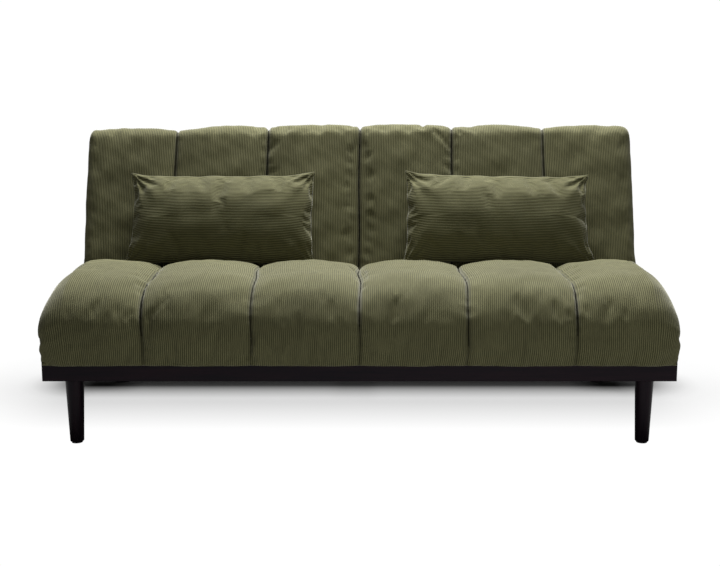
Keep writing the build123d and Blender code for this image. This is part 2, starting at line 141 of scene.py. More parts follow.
# the camera-only glow is cut in the same strip, so the painted shadow shows there
glowing = ramp(floor_paint, reach, (0.05, 0.0), (0.20, 0.62), (0.55, 1.0))
lit_paper = node(floor_paint, "Emission", Strength=white_paper)
seen = node(floor_paint, "LightPath").outputs["Is Camera Ray"]
share = node(floor_paint, "Math", [(0, seen), (1, glowing)], operation="MULTIPLY").outputs[0]
floor_sides = [(0, share), (1, floor_shader.outputs[0]), (2, lit_paper.outputs[0])]
blend_floor = node(floor_paint, "MixShader", floor_sides)
floor_end = floor_paint.node_tree.nodes["Material Output"]
wire(floor_paint, blend_floor.outputs[0], floor_end.inputs["Surface"])
floor.data.materials.append(floor_paint)
print("floor with a shaded strip", 2 * painted_shadow_half_width, "m wide")

# %% [markdown]
# Soft light comes from two large panels. Most of it falls from above, so the seat's top is bright and its
# front is dark. A weak panel low in front keeps the front readable.

# %% Light
def panel(name, size, place, aim, power):
    """A large soft light that points from its place at a point."""
    bpy.ops.object.light_add(type="AREA", location=place)
    light = bpy.context.object
    light.name = name
    light.data.shape = "RECTANGLE"
    light.data.size, light.data.size_y = size
    light.data.energy = power
    light.rotation_euler = (Vector(aim) - Vector(place)).to_track_quat("-Z", "Y").to_euler()
    return light


panel("overhead", (1.7, 1.5), (0.16, 0.84, 3.1), (0, -0.08, 0.3), 243)
panel("front_fill", (1.8, 0.5), (0.75, -2.1, 0.70), (0.15, -0.3, 0.34), 6.8)
print("two panels of light")

# %% [markdown]
# The surround lights the sofa faintly from everywhere, but looks like white paper to the camera.

# %% Surround
world = bpy.data.worlds.new("studio")
world.use_nodes = True
world_nodes, world_links = world.node_tree.nodes, world.node_tree.links
room = world_nodes["Background"]
room.inputs["Color"].default_value = (1, 1, 1, 1)
room.inputs["Strength"].default_value = 0.08
paper = world_nodes.new("ShaderNodeBackground")
paper.inputs["Color"].default_value = (1, 1, 1, 1)
paper.inputs["Strength"].default_value = white_paper
world_seen = world_nodes.new("ShaderNodeLightPath")
blend_world = world_nodes.new("ShaderNodeMixShader")
world_links.new(world_seen.outputs["Is Camera Ray"], blend_world.inputs[0])
world_links.new(room.outputs[0], blend_world.inputs[1])
world_links.new(paper.outputs[0], blend_world.inputs[2])
world_links.new(blend_world.outputs[0], world_nodes["World Output"].inputs["Surface"])
bpy.context.scene.world = world
bpy.context.scene.view_settings.view_transform = "Standard"
print("white surround")

# %% [markdown]
# Corduroy is pile cut in rows, called wales. Light catches the crown of each wale and dies in the valley
# between two, and the nap lies this way and that, so large soft patches differ in tone. The wales are real
# geometry here; the material reads the same wale count from the UV map to paint shade into the valleys, and adds
# the velvety rim with sheen. Painted shade darkens the cloth beside the seams, and a second, darker and nearly
# sheenless copy of it, painted seam shade, lies right at the seams.

# %% Corduroy
def corduroy(name, pile, shade, sheen, glow=(0.86, 0.85, 0.74)):
    """Corduroy: pile colours the crowns, shade is the painted shade of the valleys and, darker, beside the seams.
    UV: u counts wales and v runs along them.
    """
    material, shader = new_finish(name)
    weave = node(material, "UVMap", uv_map="weave").outputs[0]
    place = node(material, "TexCoord").outputs["Object"]
    across = node(material, "SeparateXYZ", [(0, weave)]).outputs[0]
    phase = node(material, "Math", [(0, across)], operation="FRACT").outputs[0]
    centred = node(material, "Math", [(0, phase)], operation="SUBTRACT")
    centred.inputs[1].default_value = 0.5
    away = node(material, "Math", [(0, centred.outputs[0])], operation="ABSOLUTE").outputs[0]
    valley = ramp(material, away, (0.18, 0.0), (0.5, 1.0))
    streak_place = node(material, "Mapping", [(0, weave)])
    streak_place.inputs["Scale"].default_value = (0.9, 0.16, 1.0)
    streaks = node(material, "TexNoise", [(0, streak_place.outputs[0])], Scale=1.0, Detail=3.0)
    patches = node(material, "TexNoise", [(0, place)], Scale=5.0, Detail=3.0, Roughness=0.55)
    speckle = node(material, "TexNoise", [(0, place)], Scale=900.0, Detail=2.0)
    tone = node(material, "MixRGB", [(1, streaks.outputs[0]), (2, patches.outputs[0])], Fac=0.5).outputs[0]
    tone = node(material, "MixRGB", [(1, tone), (2, speckle.outputs[0])], Fac=0.22).outputs[0]
    dark = tuple(0.74 * c for c in pile)
    light = tuple(1.26 * c for c in pile)
    crown = ramp(material, tone, (0.3, dark), (0.7, light))
    # painted shade: the colour is pulled towards shade in each valley between wales
    colour = node(material, "MixRGB", [(0, valley), (1, crown)], Color2=(*shade, 1)).outputs[0]
    # painted shade beside the seams, read from the cover's own per-point attribute
    seam = node(material, "Attribute", attribute_name="crease_shade").outputs["Fac"]
    painted_seam_shade = tuple(0.8 * c for c in shade)
    colour = node(material, "MixRGB", [(0, seam), (1, colour)], Color2=(*painted_seam_shade, 1)).outputs[0]
    wire(material, colour, shader.inputs["Base Color"])
    shader.inputs["Roughness"].default_value = 0.92
    shader.inputs["Specular IOR Level"].default_value = 0.15
    shader.inputs["Sheen Weight"].default_value = sheen
    shader.inputs["Sheen Roughness"].default_value = 0.42
    shader.inputs["Sheen Tint"].default_value = (*glow, 1)
    fibre = node(material, "Bump", [("Height", tone)], Strength=0.35, Distance=0.0012)
    wire(material, fibre.outputs[0], shader.inputs["Normal"])
    return material


cord_cloth = corduroy("olive_corduroy", (0.136, 0.132, 0.064), (0.013, 0.0125, 0.0035), 0.42)
# a darker, nearly sheenless copy of the corduroy: painted shade for the faces right at the seams
seam_shade_cloth = corduroy("olive_corduroy_painted_seam_shade", (0.030, 0.029, 0.012), (0.008, 0.008, 0.003), 0.02)
print("materials", cord_cloth.name, "and", seam_shade_cloth.name)

# %% [markdown]
# The covers are grids, because wales run in straight rows and a grid keeps them straight. Each cover is
# first drawn as a shape: a section through the cushion, drawn from front to rear, and the same section
# carried across the sofa. The section is worked out at any fineness, coarse for the cloth simulation and
# fine for the wales.

# %% Curves and grids
wale = 5.4 * MM
columns_per_wale = 3


def arc(centre, radius, start, end, count):
    """Points on an arc, angles in degrees, last point left out."""
    angles = np.radians(np.linspace(start, end, count, endpoint=False))
    return np.stack([centre[0] + radius * np.cos(angles), centre[1] + radius * np.sin(angles)], 1)


def run(start, end, count):
    """Points on a straight run, last point left out."""
    share = np.linspace(0, 1, count, endpoint=False)[:, None]
    return np.array(start) * (1 - share) + np.array(end) * share


def grid_normals(grid, closed=False):
    """Outward directions of a (rows, columns, 3) grid whose rows climb and whose columns go to +X."""
    if closed:
        padded_rows = np.concatenate([grid[-1:], grid, grid[:1]], 0)
        along = (padded_rows[2:] - padded_rows[:-2]) / 2
    else:
        along = np.gradient(grid, axis=0)
    across = np.gradient(grid, axis=1)
    normals = np.cross(across, along)
    return normals / np.maximum(np.linalg.norm(normals, axis=2, keepdims=True), 1e-12)


def ripples(x, y, length, seed, waves=7):
    """Soft seeded unevenness between about -1 and 1, with humps about one length across."""
    chance = np.random.default_rng(seed)
    total = np.zeros(np.broadcast(x, y).shape)
    for _ in range(waves):
        heading = chance.uniform(0, pi)
        size = length * chance.uniform(0.7, 1.6)
        shift = chance.uniform(0, 2 * pi)
        total = total + np.sin(2 * pi * (x * np.cos(heading) + y * np.sin(heading)) / size + shift)
    return total / np.sqrt(waves)


def stretch_to(field, rows, columns):
    """Cubic interpolation of a (r, c, 3) field to a finer (rows, columns, 3) one."""
    def along_first(values, count):
        place = np.linspace(0, len(values) - 1, count)
        low = np.clip(place.astype(int), 0, len(values) - 2)
        t = (place - low)[:, None, None]
        a, b, c, d = (values[np.clip(low + k, 0, len(values) - 1)] for k in (-1, 0, 1, 2))
        return b + 0.5 * t * (c - a + t * (2 * a - 5 * b + 4 * c - d + t * (3 * (b - c) + d - a)))
    finer = along_first(field, rows)
    return along_first(finer.transpose(1, 0, 2), columns).transpose(1, 0, 2)


print("wales", round(wale / MM, 1), "mm apart")


# %% [markdown]
# Cloth simulation gives the covers their life: the seams are pinned, air presses from inside, and the cloth
# is a little longer than its seams, so it puckers beside them. Only how far each point moved is kept.

# %% Cloth
def grid_mesh(name, grid, close_rows=False):
    """A mesh object from a (rows, columns, 3) grid, faces outwards."""
    rows, columns = grid.shape[:2]
    index = np.arange(rows * columns).reshape(rows, columns)
    if close_rows:
        index = np.vstack([index, index[:1]])
    quads = np.stack([index[:-1, :-1], index[:-1, 1:], index[1:, 1:], index[1:, :-1]], 2).reshape(-1, 4)
    mesh = bpy.data.meshes.new(name)
    mesh.from_pydata(grid.reshape(-1, 3).tolist(), [], quads.tolist())
    made = bpy.data.objects.new(name, mesh)
    bpy.context.scene.collection.objects.link(made)
    return made


def puff(grid, pinned, pressure, slack, cap, closed=False):
    """Blow up a coarse cover with its pinned points held, and return how far each point moves."""
    cover = grid_mesh("cloth_try", grid, closed)
    holds = cover.vertex_groups.new(name="held")
    flat = pinned.reshape(-1)
    for weight in np.unique(flat[flat > 0]):
        holds.add(np.nonzero(flat == weight)[0].tolist(), float(weight), "REPLACE")
    cloth = cover.modifiers.new("cloth", "CLOTH")
    cloth.settings.quality = 5
    cloth.settings.mass = 0.25
    cloth.settings.tension_stiffness = 12
    cloth.settings.compression_stiffness = 12
    cloth.settings.shear_stiffness = 4
    cloth.settings.bending_stiffness = 0.4
    cloth.settings.use_pressure = True
    cloth.settings.uniform_pressure_force = pressure
    cloth.settings.shrink_min = -slack
    cloth.settings.effector_weights.gravity = 0
    cloth.settings.vertex_group_mass = "held"
    cloth.point_cache.frame_end = 20
    for moment in range(1, 21):
        bpy.context.scene.frame_set(moment)
    shaped = cover.evaluated_get(bpy.context.evaluated_depsgraph_get()).to_mesh()
    places = np.empty(len(shaped.vertices) * 3)
    shaped.vertices.foreach_get("co", places)
    moved = places.reshape(grid.shape) - grid
    bpy.data.objects.remove(cover)
    bpy.context.scene.frame_set(1)
    far = np.linalg.norm(moved, axis=2, keepdims=True)
    print("cloth moved up to", round(float(far.max()) / MM, 1), "mm, kept to", cap / MM)
    return moved * np.minimum(1, cap / np.maximum(far, 1e-9))


# %% [markdown]
# Six channels run across the seat and the back. A channel's crown is a half oval between two seams, steep
# beside the seam and nearly flat in the middle. Both cushions share the seam places, so the seams line up.

# %% Channels
half_width = seat_high[0]
channel = 296 * MM
seams = np.array([-2, -1, 0, 1, 2]) * channel


def crown(x, edge):
    """1 in the middle of a channel, falling to 0 at each seam. edge is where the end channels stop."""
    stops = np.concatenate([[-edge], seams, [edge]])
    place = np.clip(np.searchsorted(stops, x, side="right") - 1, 0, len(stops) - 2)
    share = np.clip((x - stops[place]) / (stops[place + 1] - stops[place]), 0, 1)
    swell = np.abs(2 * share - 1)
    outer = ((place == 0) & (share < 0.5)) | ((place == len(stops) - 2) & (share > 0.5))
    round_top = np.maximum(1 - swell ** 2.0, 0) ** 0.5
    return np.where(outer, 1 - 0.5 * swell ** 2.2, round_top)


def seam_nearness(x, reach):
    """1 on a seam, fading to 0 at reach."""
    away = np.min(np.abs(x[..., None] - seams), axis=-1)
    return np.clip(1 - away / reach, 0, 1) ** 2


def half_walk(flat_half, roll, lap=0.35):
    """How far the cloth reaches from the middle: over the rolled end and a little way, lap, under it."""
    return flat_half + roll * (pi / 2 + lap)


def across_places(flat_half, roll, counted):
    """X, and the angle of the rolled end, for evenly spaced points across a cushion."""
    total = half_walk(flat_half, roll)
    walk = np.linspace(-total, total, counted)
    beyond = np.clip(np.abs(walk) - flat_half, 0, None) / roll
    x = np.sign(walk) * (np.minimum(np.abs(walk), flat_half) + roll * np.sin(beyond))
    return walk, x, beyond


print(len(seams) + 1, "channels,", round(channel / MM), "mm wide in the middle")

# %% [markdown]
# The seat cover is one long panel of cloth: from the hem under the front rail's top edge, up the front, over
# a full rounded edge, across the top and down behind. Its two ends roll over and meet the side panels.

# %% Seat section
seat_front, seat_rear = seat_low[1], seat_high[1]
seat_crest = seat_high[2]
seat_hem = seat_low[2]
seat_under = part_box("front_rail")[1][2] + 1.5 * MM
seat_roll, end_fall = 76 * MM, 90 * MM
rail_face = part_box("front_rail")[0][1]
front_belly, deck_dome = 9 * MM, 16 * MM
end_slope, corner_fill, hem_tuck = 46 * MM, 15 * MM, 7.5 * MM


def seat_section(drop, inset, counts):
    """(y, z) from the hem, up the front, across the top and down to the rear hem."""
    front, rear, top = seat_front + inset + 2 * MM, seat_rear - inset, seat_crest - drop
    heel, drop_behind = 190 * MM, min(66 * MM, 0.3 * (top - seat_hem))
    nose, fall = 150 * MM, min(112 * MM, 0.51 * (top - seat_hem))
    face, bend, deck, back_bend, back_face = counts
    pieces = [
        run((front, seat_hem), (front, top - fall), face),
        arc((0, 0), 1, 180, 90, bend) * (nose, fall) + (front + nose, top - fall),
        run((front + nose, top), (rear - heel, top), deck),
        arc((0, 0), 1, 90, 0, back_bend) * (heel, drop_behind) + (rear - heel, top - drop_behind),
        run((rear, top - drop_behind), (rear, seat_under), back_face),
        np.array([(rear, seat_under)]),
    ]
    path = np.vstack(pieces)
    low_face = np.clip((path[:, 1] - seat_hem) / (top - seat_hem), 0, 1)
    on_front = path[:, 0] < front + nose
    path[:, 0] -= np.where(on_front, front_belly * np.sin(pi * low_face) ** 0.8, 0)
    deck_share = np.clip((path[:, 0] - front) / (rear - front), 0, 1)
    path[:, 1] += deck_dome * max(0.0, 1 - drop / end_fall) * np.sin(pi * deck_share) ** 1.5
    rolled = (1 - max(0.0, 1 - drop / end_fall) ** 2) ** 0.5
    path[:, 1] -= end_slope * rolled * (1 - deck_share) * low_face ** 2
    return path


def seat_base(column_count, counts):
    """The seat panel before its channels: (rows, columns, 3), with each point's walk across the sofa."""
    walk, x, beyond = across_places(half_width - seat_roll, seat_roll, column_count)
    columns = []
    for place, angle in zip(x, beyond):
        inset = 24 * MM * max(0.0, 1 - np.cos(angle))
        columns.append(seat_section(end_fall * (1 - np.cos(angle)), inset, counts))
    section = np.stack(columns, 1)
    low = np.clip((seat_crest - 90 * MM - section[..., 1]) / (seat_crest - 90 * MM - seat_hem), 0, 1)
    drawn_in = x * (1 - hem_tuck / half_width * low ** 1.5)
    forward = np.clip((seat_rear - section[..., 0]) / (seat_rear - seat_front), 0, 1)
    height = np.clip((section[..., 1] - seat_hem) / (seat_crest - seat_hem), 0, 1)
    squarer = corner_fill * np.sin(2 * np.minimum(beyond, pi / 2)) * forward ** 3 * height
    drawn_in = drawn_in + np.sign(x) * squarer
    return np.concatenate([drawn_in[..., None], section], 2), walk


print("seat from", round(float(seat_hem), 3), "to", round(float(seat_crest), 3), "m high")

# %% [markdown]
# The channels are sunk into that panel. The seams are shallow at the hem and deepest on top, they wander a
# few millimetres, and the cloth puckers beside them and lies in soft lumps between them.

# %% Seat channels
def seat_depths(counts):
    """How deep the seams sink, row by row from the hem to the rear."""
    face, bend, deck, back_bend, back_face = counts
    rows = [np.linspace(5, 12, face, endpoint=False), np.linspace(12, 27, bend, endpoint=False),
            np.full(deck, 30.0), np.linspace(30, 20, back_bend, endpoint=False),
            np.linspace(20, 2, back_face + 1)]
    return np.concatenate(rows) * MM


def channelled(grid, walk, depths, edge, seed, fold=1.5 * MM):
    """Sink the seams, let them wander a little, and pucker the cloth beside them."""
    rows = np.arange(len(grid))[:, None] / len(grid)
    wander = ripples(rows * 1.4 + 0 * walk, 0.6 * walk + 0 * rows, 0.55, seed) * 3.5 * MM
    wander = wander * np.clip(1 - (np.abs(walk) / edge) ** 8, 0, 1)
    swell = crown(walk, edge)
    normals = grid_normals(grid)
    sink = depths[:, None] * (1 - swell)
    near = seam_nearness(walk, 55 * MM)
    lengthwise = rows * 0.95
    pucker = ripples(lengthwise + 0 * walk, 0.35 * walk + 0 * rows, 0.034, seed + 1) * near
    pucker = pucker * fold * np.clip(depths / (12 * MM), 0, 1)[:, None]
    lumps = ripples(grid[..., 0], rows * 0.95 + 0 * walk, 0.11, seed + 2) * 1.3 * MM
    lumps = lumps + ripples(grid[..., 0], rows * 0.95 + 0 * walk, 0.045, seed + 3) * 0.6 * MM
    stitch = seam_nearness(walk, 11 * MM) * 5 * MM * np.clip(depths / (12 * MM), 0, 1)[:, None]
    moved = normals * (pucker + lumps * swell - sink - stitch)[..., None]
    moved[..., 0] = normals[..., 0] * lumps * 0.5
    shaped = grid + moved
    shaped[..., 0] += wander
    return shaped


def held_seams(walk, rows):
    """1 where the seams and the two ends hold a coarse cover, 0 where its cloth is free."""
    held = np.where(seam_nearness(walk, 8 * MM) > 0.3, 1.0, 0.0)[None, :] * np.ones((rows, 1))
    held[:, [0, -1]] = 1.0
    return held


print("seams up to", round(float(seat_depths((1, 1, 1, 1, 1)).max()) / MM), "mm deep")

# %% [markdown]
# The wales are real: each is three columns of points wide, and its valley is sunk along the cloth's own
# outward direction after the cloth is blown up. A UV map counts them for the material.

# %% Wales
def ribbed(grid, phase, depth=1.6 * MM, closed=False):
    """Sink the valleys between wales. phase counts wales at each point."""
    fraction = phase - np.floor(phase)
    valley = np.cos(2 * pi * fraction) * 0.5 + 0.5
    return grid - grid_normals(grid, closed) * (valley * depth)[..., None]


def cover_mesh(name, grid, phase, along, close_rows=False, crease_shade=None):
    """The finished cover: smooth faces, the weave's UV map, the painted shade of each point, and the corduroy with
    its darker painted-shade copy at the seams.
    """
    made = grid_mesh(name, grid, close_rows)
    mesh = made.data
    mesh.polygons.foreach_set("use_smooth", [True] * len(mesh.polygons))
    layer = mesh.uv_layers.new(name="weave")
    corner_points = np.empty(len(mesh.loops), dtype=int)
    mesh.loops.foreach_get("vertex_index", corner_points)
    weave = np.stack([phase.reshape(-1)[corner_points], (along.reshape(-1) / wale)[corner_points]], 1)
    layer.data.foreach_set("uv", weave.reshape(-1))
    # painted shade: how much each point's colour is darkened beside its seams
    shadow = mesh.attributes.new("crease_shade", "FLOAT", "POINT")
    if crease_shade is not None:
        shadow.data.foreach_set("value", np.ascontiguousarray(crease_shade, dtype=float).reshape(-1))
    mesh.materials.append(cord_cloth)
    mesh.materials.append(seam_shade_cloth)
    # faces along the darkest seams take the darker painted-shade copy of the corduroy
    if crease_shade is not None:
        rows, columns = grid.shape[:2]
        across_faces = np.minimum(crease_shade[:, :-1], crease_shade[:, 1:]) > 0.6 * np.max(crease_shade)
        pairs = across_faces & np.roll(across_faces, -1, axis=0)
        face_rows = len(mesh.polygons) // (columns - 1)
        mesh.polygons.foreach_set("material_index", pairs[:face_rows].astype(int).reshape(-1))
    print(name, len(mesh.polygons) * 2, "triangles")
    return made


def walked(grid):
    """Distance along each column of a grid, from its first row."""
    steps = np.linalg.norm(np.diff(grid, axis=0), axis=2)
    return np.concatenate([np.zeros((1, grid.shape[1])), np.cumsum(steps, axis=0)])


def seam_shade(walk, depths, reach=11 * MM, strength=0.85):
    """How much painted shade darkens the cloth beside its seams."""
    deep = np.clip(depths / (16 * MM), 0, 1)[:, None]
    return strength * deep ** 0.5 * seam_nearness(walk, reach)


# %% [markdown]
# The seat cover is drawn twice. The coarse one is blown up as cloth with its seams held, and the fine one
# takes over how far that cloth moved, gets its wales, and closes flat under the hem.

# %% Seat cover
def seat_shape(column_count, counts):
    """The channelled seat panel at any fineness, with its walk across."""
    grid, walk = seat_base(column_count, counts)
    return channelled(grid, walk, seat_depths(counts), half_width + 50 * MM, 11), walk


coarse_counts = (14, 12, 14, 14, 10)
coarse_seat, coarse_walk = seat_shape(151, coarse_counts)
held = held_seams(coarse_walk, len(coarse_seat))
held[[0, -1]] = 1.0
seat_puff = puff(coarse_seat, held, pressure=3.0, slack=0.025, cap=6.5 * MM)

seat_counts = (17, 20, 20, 20, 10)
seat_reach = half_walk(half_width - seat_roll, seat_roll)
seat_columns = 2 * round(seat_reach / wale * columns_per_wale) + 1
seat_grid, seat_walk = seat_shape(seat_columns, seat_counts)
seat_grid = seat_grid + stretch_to(seat_puff, *seat_grid.shape[:2])
seat_phase = np.broadcast_to(seat_walk / wale, seat_grid.shape[:2])
seat_ribs = ribbed(seat_grid, seat_phase)
rear_row = seat_ribs[-1:]
under_y, under_inset = rail_face - 1.5 * MM, 11 * MM
rear_x = np.clip(rear_row[0, :, 0], under_inset - half_width, half_width - under_inset)
under = [np.stack([rear_x, np.full(seat_columns, under_y), np.full(seat_columns, z)], 1)
         for z in (seat_under, seat_hem)]
seat_all = np.concatenate([seat_ribs, np.stack(under)], 0)
phase_all = np.broadcast_to(seat_walk / wale, seat_all.shape[:2])
all_depths = np.concatenate([seat_depths(seat_counts), [0, 0]])
# the seat's seams get painted shade
seat_piece = cover_mesh("seat_corduroy", seat_all, phase_all, walked(seat_all), True,
                        seam_shade(seat_walk, all_depths))
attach(seat_piece, "sofa_base")
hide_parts("seat_cover", "seat_foam")

# %% [markdown]
# The side panels close the ends of the seat. Their wales stand upright, and the panel swells a little
# between its edges. Each panel is a grid of upright rows of wales that follows the seat's own outline.

# %% Side panels
def side_panel(name, side, outline_low, outline_high, rows, face_x, swell, body, tuck=0.0, shape=None):
    """A ribbed panel on one end. outline_low and _high give (y, z) along its lower and upper edges."""
    share = np.linspace(0, 1, rows)[:, None, None]
    flat = outline_low[None] * (1 - share) + outline_high[None] * share
    run_share = np.linspace(0, 1, len(outline_low))[None, :]
    bulge = (np.sin(pi * share[..., 0]) * np.sin(pi * run_share)) ** 0.6
    unevenness = ripples(flat[..., 0], flat[..., 1], 0.16, 31 + side) * 1.2 * MM
    x = side * (face_x - tuck * (1 - share[..., 0]) ** 1.5 + bulge * (swell + unevenness))
    grid = np.concatenate([x[..., None], flat], 2)
    if shape:
        grid = shape(grid)
    if side < 0:
        grid = grid[:, ::-1]
    steps = np.linalg.norm(np.diff(grid[rows // 2], axis=0), axis=1)
    phase = np.broadcast_to(np.concatenate([[0], np.cumsum(steps)]) / wale, grid.shape[:2])
    made = cover_mesh(name, ribbed(grid, phase), phase, walked(grid))
    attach(made, body)
    return made


panel_x = half_width - 7 * MM
end_counts = (17, 30, 20, 30, 12)
end_path = seat_section(end_fall * 1.2, 27 * MM, end_counts)
rise = end_path[end_counts[0]:-end_counts[4] - 1]
panel_columns = 2 * round((rise[-1, 0] - rise[0, 0]) / wale * 1.5) + 1
panel_y = np.linspace(rise[0, 0], rise[-1, 0], panel_columns)
panel_top = np.stack([panel_y, np.interp(panel_y, rise[:, 0], rise[:, 1])], 1)
panel_hem = np.stack([panel_y, np.full(len(panel_y), seat_hem)], 1)
for side, which in ((-1, "left"), (1, "right")):
    side_panel(f"seat_{which}_panel", side, panel_hem, panel_top, 26, panel_x, 5 * MM,
               "sofa_base", tuck=3 * MM)

# %% [markdown]
# The back is a slab that leans on the hinge line, so it is drawn in its own directions, up the slab and out
# of its front, and then placed. Its lower edge is round about the hinge, which lets it roll behind the seat
# as it folds flat. The six channels show on the front and over the top; the rear is plain cloth.

# %% Back section
hinge = next(joint for joint in frame["joints"] if joint["name"] == "back_hinge")
hinge_y, hinge_z = hinge["pos_m"][1:]
recline = radians(20)
back_low, back_high = (np.array(corner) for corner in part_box("back_cover"))
back_half_width = back_high[0] + 9 * MM
slab_half = 65 * MM
slab_top = 490 * MM
back_roll = 22 * MM
back_belly, left_settle = 5 * MM, 11 * MM


def from_slab(up, out):
    """(y, z) of a point given up the slab from the hinge and out of its front."""
    y = hinge_y + up * np.sin(recline) - out * np.cos(recline)
    z = hinge_z + up * np.cos(recline) + out * np.sin(recline)
    return np.stack([y, z], -1)


def to_slab(grid):
    """How far up the slab and out of its front each point lies."""
    away = grid[..., 1:] - np.array([hinge_y, hinge_z])
    up = away[..., 0] * np.sin(recline) + away[..., 1] * np.cos(recline)
    return up, away[..., 1] * np.sin(recline) - away[..., 0] * np.cos(recline)


def back_section(drop, counts):
    """Closed (up, out) outline: up the front, over the top, down the rear and round the hinge."""
    half, top = slab_half - drop, slab_top - drop
    ease = 38 * MM
    face, bend, crest, plain, turn = counts
    return np.vstack([
        run((0, half), (top - ease, half), face),
        arc((top - ease, half - ease), ease, 90, 0, bend),
        run((top, half - ease), (top, ease - half), crest),
        arc((top - ease, ease - half), ease, 0, -90, bend),
        run((top - ease, -half), (0, -half), plain),
        arc((0, 0), half, -90, -270, turn),
    ])


def rounded_top(grid, radius=30 * MM):
    """Round the two upper corners of the slab, as seen from the front, and let its left end settle."""
    up, out = to_slab(grid)
    settled = left_settle * np.clip(-grid[..., 0] / back_half_width, 0, 1) ** 1.2
    beyond_side = np.abs(grid[..., 0]) - (back_half_width - radius)
    beyond_top = up - (slab_top - radius)
    reach = np.hypot(beyond_side, beyond_top)
    outside = (beyond_side > 0) & (beyond_top > 0) & (reach > radius)
    shrink = np.where(outside, radius / np.maximum(reach, radius), 1)
    rounded_x = np.sign(grid[..., 0]) * (back_half_width - radius + beyond_side * shrink)
    x = np.where(outside, rounded_x, grid[..., 0])
    up = np.where(outside, slab_top - radius + beyond_top * shrink, up)
    up = up - settled * np.clip(up / slab_top, 0, 1)
    return np.concatenate([x[..., None], from_slab(up, out)], 2)


print("hinge line at y", round(hinge_y, 3), "z", round(hinge_z, 3))

# %% [markdown]
# Two things about the back are special. Its rear lies flat over a board, so the seams sink only its front
# and top. Its lower edge has a slot at each end, where the hinge arm comes out.

# %% Back channels
slot_inner, slot_outer, slot_top, front_slot_top = 781 * MM, 827 * MM, 40 * MM, 12 * MM


def back_depths(counts):
    """How deep the seams sink around the section."""
    face, bend, crest, plain, turn = counts
    rows = [np.linspace(18, 17, face, endpoint=False), np.linspace(16, 11, bend, endpoint=False),
            np.linspace(11, 9, crest, endpoint=False), np.linspace(9, 2, bend, endpoint=False),
            np.full(plain, 0.0), np.linspace(0, 18, turn, endpoint=False)]
    return np.concatenate(rows) * MM


def back_shape(column_count, counts):
    """The channelled back at any fineness: its grid in the row frame, and its walk."""
    walk, x, beyond = across_places(back_half_width - back_roll, back_roll, column_count)
    section = np.stack([back_section(back_roll * (1 - np.cos(angle)), counts) for angle in beyond], 1)
    up, out = section[..., 0], section[..., 1]
    front = out > slab_half - back_roll - 1 * MM
    out = out + np.where(front, back_belly * np.sin(pi * np.clip(up / slab_top, 0, 1)), 0)
    grid = np.concatenate([np.broadcast_to(x, up.shape)[..., None], from_slab(up, out)], 2)
    edge = back_half_width + 24 * MM
    return channelled(rounded_top(grid), walk, back_depths(counts), edge, 47, fold=0.7 * MM), walk


def slotted(grid):
    """Keep the rear flat over its panel, and lift the cloth out of the two slots for the hinges."""
    up, out = to_slab(grid)
    rear = (out < -0.8 * slab_half) & (up > 0) & (up < slab_top - 34 * MM)
    out = np.where(rear, np.minimum(out, 0.3 * (out + slab_half) - slab_half), out)
    limit = np.where(out > 45 * MM, front_slot_top, slot_top)
    inside = (np.abs(grid[..., 0]) > slot_inner) & (np.abs(grid[..., 0]) < slot_outer) & (up < limit)
    lifted = from_slab(np.where(inside, limit, up), out)
    return np.concatenate([grid[..., :1], lifted], 2)


print("hinge slots", round((slot_outer - slot_inner) / MM), "mm wide")

# %% [markdown]
# The back cover is one closed band of cloth. It is blown up and ribbed in the same way as the seat, with the
# plain rear held still.

# %% Back cover
coarse_counts = (34, 4, 5, 16, 12)
coarse_back, coarse_walk = back_shape(151, coarse_counts)
held = held_seams(coarse_walk, len(coarse_back))
held[sum(coarse_counts[:3]) + coarse_counts[1]:] = 1.0
back_puff = puff(coarse_back, held, pressure=2.6, slack=0.02, cap=3.2 * MM, closed=True)

back_counts = (44, 7, 8, 14, 16)
back_reach = half_walk(back_half_width - back_roll, back_roll)
back_columns = 2 * round(back_reach / wale * columns_per_wale) + 1
back_grid, back_walk = back_shape(back_columns, back_counts)
back_grid = back_grid + stretch_to(back_puff, *back_grid.shape[:2])
back_phase = np.broadcast_to(back_walk / wale, back_grid.shape[:2])
back_ribs = slotted(ribbed(back_grid, back_phase, closed=True))
# the back's seams get painted shade
back_piece = cover_mesh("back_corduroy", back_ribs, back_phase, walked(back_ribs), True,
                        seam_shade(back_walk, back_depths(back_counts)))
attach(back_piece, "backrest")
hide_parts("back_cover", "back_foam")

# %% [markdown]
# Each end of the back is closed by a narrow upright panel, which follows the slab from the round lower edge
# to the eased top corners.

# %% Back end panels
end_half = slab_half - back_roll - 3 * MM
end_top = slab_top - back_roll - 3 * MM
end_ease = 14 * MM
out = np.linspace(end_half, -end_half, 47)
low_edge = from_slab(-np.sqrt(np.maximum(end_half ** 2 - out ** 2, 0)), out)
corner = np.clip((np.abs(out) - end_half + end_ease) / end_ease, 0, 1)
high_edge = from_slab(end_top - end_ease * (1 - np.sqrt(1 - corner ** 2)), out)
for side, which in ((-1, "left"), (1, "right")):
    side_panel(f"back_{which}_panel", side, low_edge, high_edge, 46,
               back_half_width - 6 * MM, 4.5 * MM, "backrest", shape=rounded_top)

# %% [markdown]
# The two lumbar pillows are sewn from two pieces of the same cloth, with the wales lying sideways. A pillow
# is fullest in the middle, its sides pull in between the corners, and the corners stay out as soft points.

# %% Pillow shape
pillow_wide, pillow_tall, pillow_thick = 582 * MM, 300 * MM, 112 * MM


